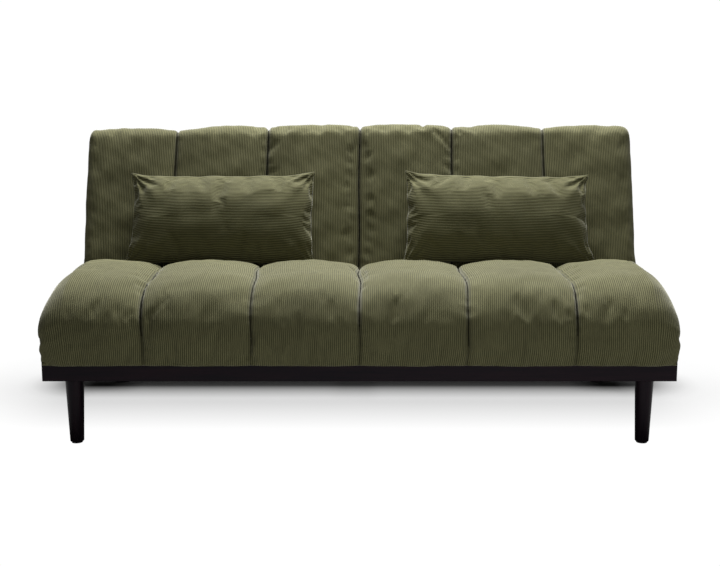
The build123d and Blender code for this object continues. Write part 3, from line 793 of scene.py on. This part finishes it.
def pillow_shape(rows, columns, seed):
    """A plump pillow as a closed band of rows: up the front, then down the rear."""
    a = np.sin(np.linspace(-0.96 * pi / 2, 0.96 * pi / 2, columns))[None, :]
    a = a / a[0, -1]
    climb = np.linspace(-1, 1, rows // 2 + 1)
    b = np.concatenate([climb[:-1], climb[:0:-1]])[:, None]
    front = np.concatenate([np.ones(rows // 2), -np.ones(rows // 2)])[:, None]
    x = a * pillow_wide / 2 * (1 - 0.05 * (1 - np.abs(b) ** 3.5) - 0.012 * b)
    y = b * pillow_tall / 2 * (1 - 0.085 * (1 - np.abs(a) ** 5))
    tip = 13 * MM
    past_side = np.abs(x) - (pillow_wide / 2 - tip)
    past_end = np.abs(y) - (pillow_tall / 2 - tip)
    past = np.hypot(past_side, past_end)
    shrink = np.where((past_side > 0) & (past_end > 0) & (past > tip), tip / np.maximum(past, tip), 1)
    x = np.where(shrink < 1, np.sign(x) * (pillow_wide / 2 - tip + past_side * shrink), x)
    y = np.where(shrink < 1, np.sign(y) * (pillow_tall / 2 - tip + past_end * shrink), y)
    x = x + ripples(y, 0.2 * x, 0.055, seed + 5) * np.abs(a) ** 6 * 1.8 * MM
    y = y + ripples(x, 0.2 * y, 0.075, seed + 6) * np.abs(b) ** 6 * 1.4 * MM
    fullness = (1 - np.abs(a) ** 2.6) ** 0.5 * (1 - np.abs(b) ** 2.1) ** 0.75
    to_side, to_end = 1.9 * (1 - np.abs(a)), 1 - np.abs(b)
    corner_angle = np.arctan2(to_end, to_side)
    corner_near = np.exp(-np.hypot(to_side, to_end) / 0.42)
    folds = np.sin(11 * corner_angle + seed * np.sign(a) + 2 * np.sign(b)) * corner_near * 6.5 * MM
    folds = folds + np.sin(2.3 * pi * (b + 0.3 * a) + seed) * np.exp(-to_side / 0.25) * 2.2 * MM
    folds = folds + ripples(x, y, 0.085, seed) * 1.1 * MM
    z = front * (pillow_thick / 2 * fullness + folds * np.minimum(1, fullness * 2.5))
    return np.stack([x, y, z], 2)


def outline_held(rows, columns):
    """The pillow's seam all the way round."""
    seam = np.zeros((rows, columns))
    seam[[0, rows // 2]] = 1.0
    seam[:, [0, -1]] = 1.0
    return seam


print("pillows", round(pillow_wide / MM), "by", round(pillow_tall / MM), "mm")

# %% [markdown]
# A pillow leans on the back and sinks a little into the corner between the back and the seat. What would
# pass through them is pressed flat. Each of the four corners is pulled its own way, so the two differ.

# %% Pillows
sunk, forward_of_middle, back_face, seat_press = 44 * MM, 6 * MM, -54 * MM, 14 * MM


def make_pillow(name, body, nodes, corners, seed):
    """One pillow: blown up, ribbed, set on the seat and against the back.

    corners gives how far each corner is pulled, as (across, up) in mm, in the order low left, low right,
    top left, top right.
    """
    coarse = pillow_shape(64, 61, seed)
    swelling = puff(coarse, outline_held(64, 61), pressure=3.5, slack=0.025, cap=5 * MM, closed=True)
    rows, columns = 2 * 56 * columns_per_wale, 93
    grid = pillow_shape(rows, columns, seed)
    wrapped = np.concatenate([swelling, swelling[:1]], 0)
    grid = grid + stretch_to(wrapped, rows + 1, columns)[:-1]
    climb = np.linspace(-28, 28, rows // 2 + 1)
    phase = np.broadcast_to(np.concatenate([climb[:-1], climb[:0:-1]])[:, None], grid.shape[:2])
    edge = outline_held(rows, columns)
    grid = np.where(edge[..., None] > 0, grid, ribbed(grid, phase, closed=True))
    low, high = (np.array(corner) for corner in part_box(nodes[0]))
    middle = (low + high) / 2
    x, up, out = grid[..., 0], grid[..., 1] - sunk, grid[..., 2] + forward_of_middle
    right_share = np.clip(0.5 + grid[..., 0] / pillow_wide, 0, 1)
    top_share = np.clip(0.5 + grid[..., 1] / pillow_tall, 0, 1)
    for number, (across_pull, up_pull) in enumerate(corners):
        weight = (right_share if number % 2 else 1 - right_share) ** 1.5
        weight = weight * (top_share if number > 1 else 1 - top_share) ** 1.5
        x = x + weight * across_pull * MM
        up = up + weight * up_pull * MM
    out = np.maximum(out, back_face + 0.12 * (out - back_face))
    y = middle[1] + up * np.sin(recline) - out * np.cos(recline)
    z = middle[2] + up * np.cos(recline) + out * np.sin(recline)
    rest = seat_crest - seat_press
    z = np.maximum(z, rest + 0.1 * (z - rest))
    placed = np.stack([middle[0] + x, y, z], 2)
    # painted shade along the pillow's outline seam
    made = cover_mesh(name, placed, phase, grid[..., 0], True, 0.8 * edge)
    bpy.ops.object.select_all(action="DESELECT")
    made.select_set(True)
    bpy.context.view_layer.objects.active = made
    bpy.ops.object.mode_set(mode="EDIT")
    bpy.ops.mesh.select_all(action="SELECT")
    bpy.ops.mesh.remove_doubles(threshold=0.05 * MM)
    bpy.ops.object.mode_set(mode="OBJECT")
    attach(made, body)
    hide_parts(*nodes)
    return made


make_pillow("left_pillow", "left_pillow", ("left_pillow_cover", "left_pillow_insert"),
            ((-20, -4), (-13, -3), (-11, 0), (-6, 4)), 3)
make_pillow("right_pillow", "right_pillow", ("right_pillow_cover", "right_pillow_insert"),
            ((8, 2), (19, -3), (10, 8), (13, -4)), 8)

# %% [markdown]
# The rails and legs are solid wood under a nearly black, slightly red stain. The grain barely shows: it is a
# faint change of tone and gloss along the piece, so each piece needs its grain along its own length.

# %% Finish recipes
def stained_wood(name, stretch, dark=(0.0038, 0.0018, 0.0046), light=(0.013, 0.0052, 0.0088)):
    """Espresso stain with the grain along the axis that stretch makes small."""
    material, shader = new_finish(name)
    place = node(material, "TexCoord").outputs["Object"]
    grain_place = node(material, "Mapping", [(0, place)])
    grain_place.inputs["Scale"].default_value = stretch
    grain = node(material, "TexNoise", [(0, grain_place.outputs[0])], Scale=60.0, Detail=6.0, Roughness=0.6)
    pores = node(material, "TexNoise", [(0, grain_place.outputs[0])], Scale=260.0, Detail=2.0)
    colour = ramp(material, grain.outputs[0], (0.35, dark), (0.68, light))
    wire(material, colour, shader.inputs["Base Color"])
    gloss = ramp(material, grain.outputs[0], (0.3, 0.30), (0.7, 0.46))
    wire(material, gloss, shader.inputs["Roughness"])
    shader.inputs["Specular IOR Level"].default_value = 0.13
    bump = node(material, "Bump", [("Height", pores.outputs[0])], Strength=0.12, Distance=0.0006)
    wire(material, bump.outputs[0], shader.inputs["Normal"])
    return material


def plain_finish(name, dark, light, roughness, metallic=0.0, scale=40.0, stretch=(1, 1, 1), bump=0.1):
    """A finish with two tones in fine noise, for frame wood, foam, cloth, plastic and metal."""
    material, shader = new_finish(name)
    place = node(material, "TexCoord").outputs["Object"]
    sized = node(material, "Mapping", [(0, place)])
    sized.inputs["Scale"].default_value = stretch
    noise = node(material, "TexNoise", [(0, sized.outputs[0])], Scale=scale, Detail=5.0, Roughness=0.6)
    colour = ramp(material, noise.outputs[0], (0.35, dark), (0.65, light))
    wire(material, colour, shader.inputs["Base Color"])
    shader.inputs["Roughness"].default_value = roughness
    shader.inputs["Metallic"].default_value = metallic
    raised = node(material, "Bump", [("Height", noise.outputs[0])], Strength=bump, Distance=0.0008)
    wire(material, raised.outputs[0], shader.inputs["Normal"])
    return material


print("two recipes: stained wood and a plain finish")

# %% [markdown]
# The frame inside is pale softwood, with steel springs and hinges, foam, felt and black cloth underneath.
# The slot named in each part's record picks its finish.

# %% Wood and metal finishes
along_x, along_y, along_z = (0.06, 1, 1), (1, 0.06, 1), (1, 1, 0.06)
rail_wood = stained_wood("espresso_rail", along_x)
side_wood = stained_wood("espresso_side_rail", along_y)
leg_wood = stained_wood("espresso_leg", along_z)
finishes = {
    "frame_wood": plain_finish("sawn_pine", (0.16, 0.095, 0.045), (0.29, 0.185, 0.095), 0.7, 0, 30,
                               along_x, 0.2),
    "hardboard": plain_finish("hardboard", (0.13, 0.075, 0.04), (0.2, 0.12, 0.065), 0.6, 0, 300),
    "foam": plain_finish("cut_foam", (0.62, 0.55, 0.34), (0.74, 0.68, 0.45), 0.95, 0, 500, (1, 1, 1), 0.5),
    "fibre_fill": plain_finish("fibre_fill", (0.75, 0.75, 0.72), (0.9, 0.9, 0.88), 0.95, 0, 90),
    "felt": plain_finish("grey_felt", (0.08, 0.08, 0.08), (0.2, 0.19, 0.18), 0.98, 0, 350),
    "dust_cloth": plain_finish("black_dust_cloth", (0.008, 0.008, 0.008), (0.022, 0.022, 0.022), 0.95,
                               0, 700),
    "webbing": plain_finish("jute_webbing", (0.42, 0.35, 0.22), (0.62, 0.55, 0.4), 0.9, 0, 420),
    "black_steel": plain_finish("black_steel", (0.010, 0.010, 0.011), (0.03, 0.03, 0.032), 0.42, 0.6, 220),
    "zinc_steel": plain_finish("zinc_steel", (0.42, 0.42, 0.40), (0.66, 0.66, 0.62), 0.34, 1.0, 160),
    "spring_steel": plain_finish("spring_steel", (0.12, 0.12, 0.12), (0.3, 0.3, 0.3), 0.38, 1.0, 120),
    "glide_plastic": plain_finish("glide_plastic", (0.01, 0.01, 0.01), (0.03, 0.03, 0.03), 0.5, 0, 260),
}
slots = {entry["node"]: entry["material_slot"] for entry in frame["record"]["subparts"]}
for name, piece in frame["nodes"].items():
    if name in ("front_rail", "rear_rail"):
        finish = rail_wood
    elif name.endswith("side_rail"):
        finish = side_wood
    elif name.endswith("_leg"):
        finish = leg_wood
    else:
        finish = finishes.get(slots[name], cord_cloth)
    for place in range(max(1, len(piece.material_slots))):
        if piece.material_slots:
            piece.material_slots[place].material = finish
        else:
            piece.data.materials.append(finish)
print("finishes on", len(frame["nodes"]), "parts of the frame")
